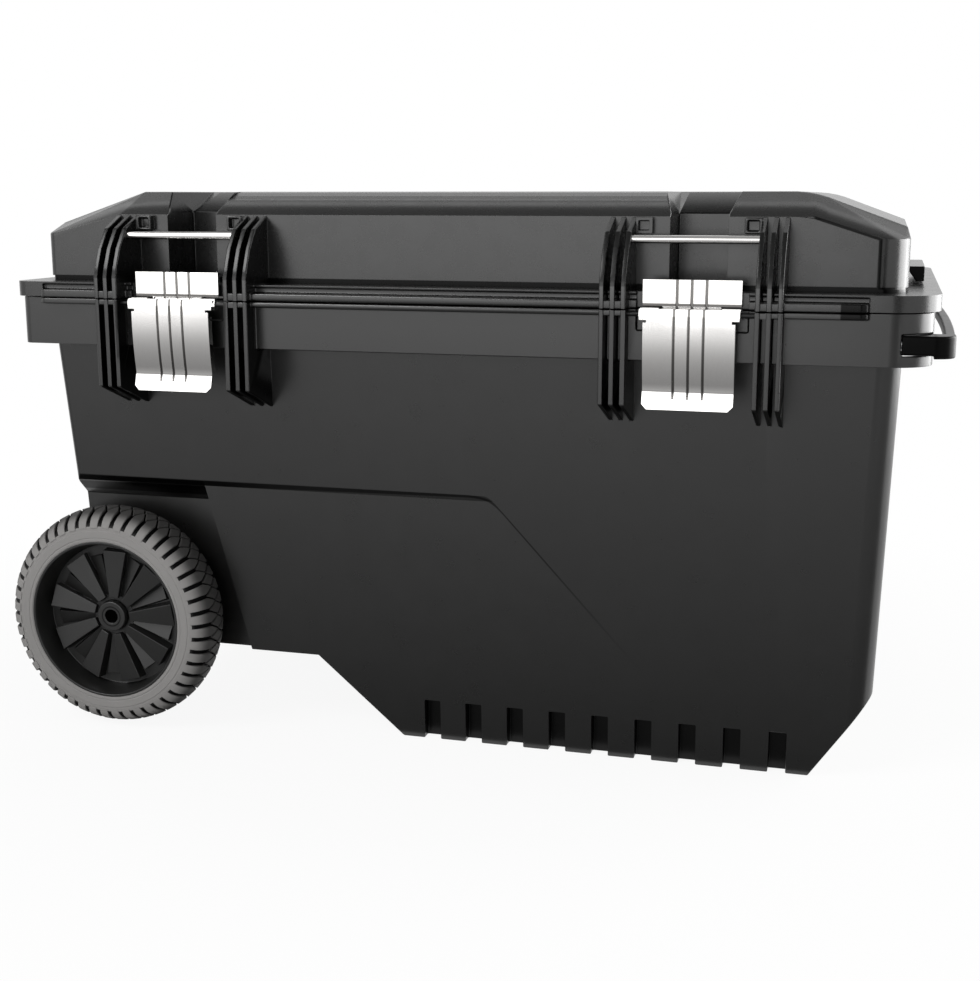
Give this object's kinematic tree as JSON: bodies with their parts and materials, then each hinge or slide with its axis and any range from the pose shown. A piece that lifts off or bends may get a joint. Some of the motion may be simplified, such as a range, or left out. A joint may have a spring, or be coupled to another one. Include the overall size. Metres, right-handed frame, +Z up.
{
  "type": "jobsite storage box",
  "caption": "Moulded storage box on wheels with a hinged sloping-edged lid, steel draw latches and a pull handle that slides out of its rim",
  "frame": {"origin": "on the floor under the middle of the box's overall bounds", "axes": "+X along the box towards the pull handle, +Y towards the rear hinges, +Z up"},
  "size_m": [0.7197, 0.4585, 0.42],
  "materials": {
    "tub_plastic": "matt, fine grain",
    "lid_plastic": "matt, fine grain",
    "seal_rubber": "matt",
    "polished_steel": "polished",
    "plated_steel": "zinc plated",
    "dark_steel": "black oxide",
    "wheel_plastic": "satin",
    "tyre_grey": "matt",
    "bearing_plastic": "satin",
    "grip_plastic": "satin"
  },
  "bodies": {
    "box": {"tub": "tub_plastic", "hinge_pins": "plated_steel", "latch_pins": "dark_steel", "axle": "plated_steel", "axle_bushes": "bearing_plastic", "axle_washers": "plated_steel", "axle_caps": "wheel_plastic", "handle_guides": "bearing_plastic", "guide_screws": "plated_steel"},
    "lid": {"lid": "lid_plastic", "lid_gasket": "seal_rubber", "lid_rods": "polished_steel"},
    "latch_left": {"latch_lever_left": "polished_steel"},
    "hook_left": {"latch_hook_left": "polished_steel"},
    "latch_right": {"latch_lever_right": "polished_steel"},
    "hook_right": {"latch_hook_right": "polished_steel"},
    "wheel_front": {"wheel_tyre_front": "tyre_grey", "wheel_hub_front": "wheel_plastic", "wheel_bush_front": "bearing_plastic"},
    "wheel_rear": {"wheel_tyre_rear": "tyre_grey", "wheel_hub_rear": "wheel_plastic", "wheel_bush_rear": "bearing_plastic"},
    "pull_handle": {"handle_grip": "grip_plastic", "handle_tubes": "plated_steel", "handle_stops": "bearing_plastic", "handle_rivets": "plated_steel"}
  },
  "joints": [
    {"name": "lid_hinge", "type": "hinge", "parent": "box", "child": "lid", "pos_m": [0, 0.2229, 0.343], "axis": [-1, 0, 0], "range_deg": [0, 100]},
    {"name": "latch_left_lever", "type": "hinge", "parent": "box", "child": "latch_left", "pos_m": [-0.199, -0.2213, 0.3385], "axis": [-1, 0, 0], "range_deg": [0, 60]},
    {"name": "latch_left_hook", "type": "hinge", "parent": "latch_left", "child": "hook_left", "pos_m": [-0.199, -0.22099, 0.33632], "axis": [-1, 0, 0], "range_deg": [-78, 0]},
    {"name": "latch_right_lever", "type": "hinge", "parent": "box", "child": "latch_right", "pos_m": [0.1835, -0.2213, 0.3385], "axis": [-1, 0, 0], "range_deg": [0, 60]},
    {"name": "latch_right_hook", "type": "hinge", "parent": "latch_right", "child": "hook_right", "pos_m": [0.1835, -0.22099, 0.33632], "axis": [-1, 0, 0], "range_deg": [-78, 0]},
    {"name": "wheel_front_spin", "type": "hinge", "parent": "box", "child": "wheel_front", "pos_m": [-0.272, -0.197, 0.089], "axis": [0, 1, 0], "continuous": true},
    {"name": "wheel_rear_spin", "type": "hinge", "parent": "box", "child": "wheel_rear", "pos_m": [-0.272, 0.197, 0.089], "axis": [0, 1, 0], "continuous": true},
    {"name": "handle_slide", "type": "slide", "parent": "box", "child": "pull_handle", "axis": [1, 0, 0], "range_m": [0, 0.3]}
  ],
  "couplings": [
    {"joint": "latch_left_hook", "follows": "latch_left_lever", "ratio": -1.3},
    {"joint": "latch_right_hook", "follows": "latch_right_lever", "ratio": -1.3}
  ]
}
